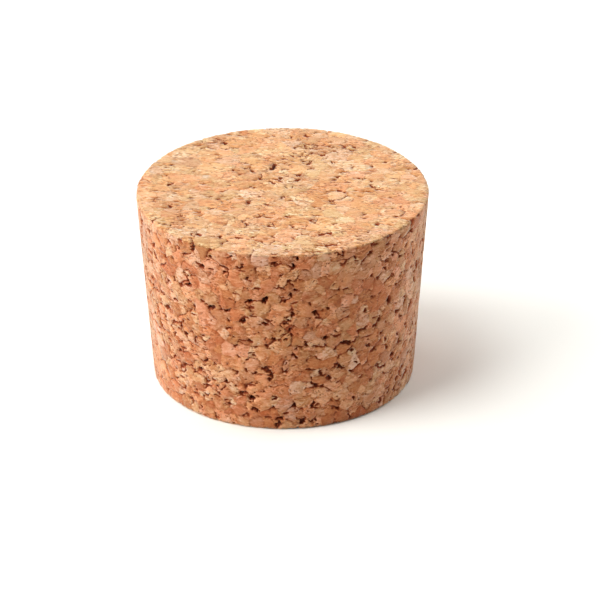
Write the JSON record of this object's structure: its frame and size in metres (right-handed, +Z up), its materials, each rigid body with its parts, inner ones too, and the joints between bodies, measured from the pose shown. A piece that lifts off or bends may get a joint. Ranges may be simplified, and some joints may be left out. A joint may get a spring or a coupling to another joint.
{
  "type": "cork stopper",
  "caption": "Tapered stopper of pressed cork granules, wide end up, for plugging a jar, flask or bottle neck.",
  "frame": {"origin": "centre of the small lower end's face, on the surface that the stopper stands on", "axes": "+Z up along the stopper's axis, from the small end to the wide end; +X and +Y across it"},
  "size_m": [0.051, 0.051, 0.035],
  "materials": {
    "cork": "matt pressed cork granules, cut and ground, unsealed"
  },
  "bodies": {
    "root": {"stopper": "cork"}
  },
  "joints": []
}
